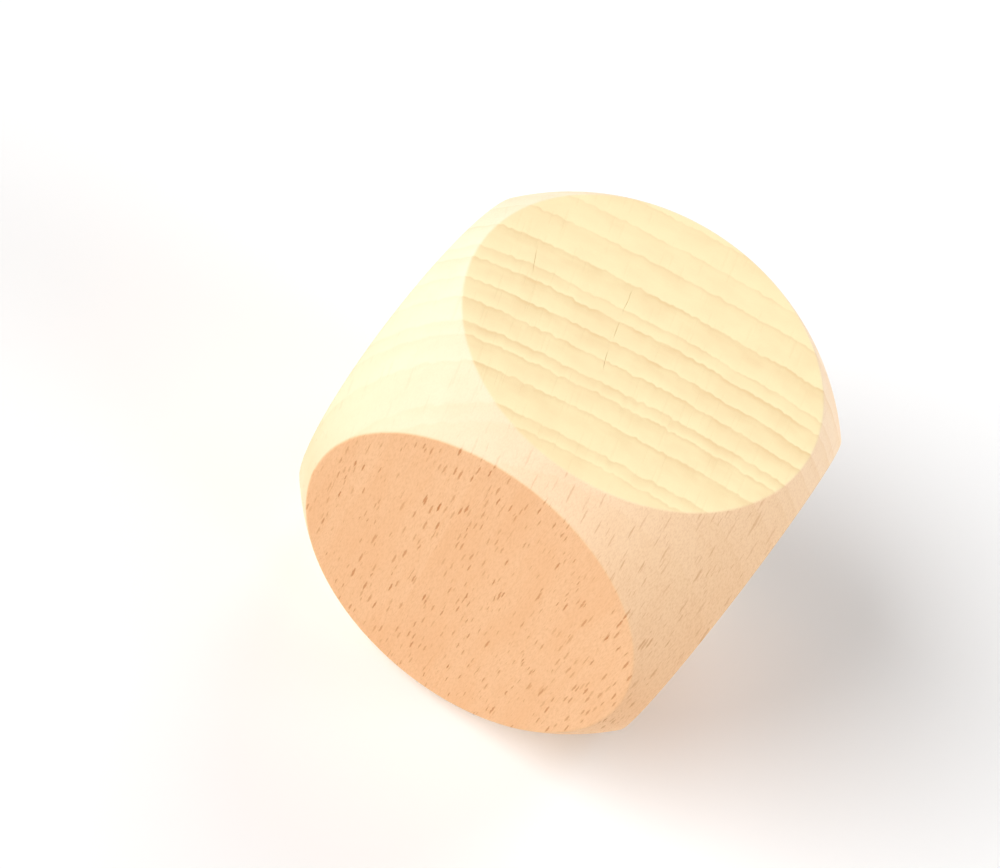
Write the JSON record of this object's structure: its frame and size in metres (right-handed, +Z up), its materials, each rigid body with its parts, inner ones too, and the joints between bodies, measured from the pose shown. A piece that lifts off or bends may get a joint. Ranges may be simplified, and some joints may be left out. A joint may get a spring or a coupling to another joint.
{
  "type": "rounded wooden cube",
  "caption": "Solid beech cube whose edges and corners are rounded to a ball, with a round flat on every face; a blank die, play block or desk weight that rests on any face.",
  "frame": {"origin": "centre of the bottom flat, on the surface that the cube stands on", "axes": "+Z up along the wood's grain, out of the end-grain flat; -Y out of the flat that shows the ray flecks; +X out of the quarter-sawn flat"},
  "size_m": [0.06, 0.06, 0.06],
  "materials": {
    "beech": "bare sanded beech, matt"
  },
  "bodies": {
    "root": {"rounded_cube": "beech"}
  },
  "joints": []
}
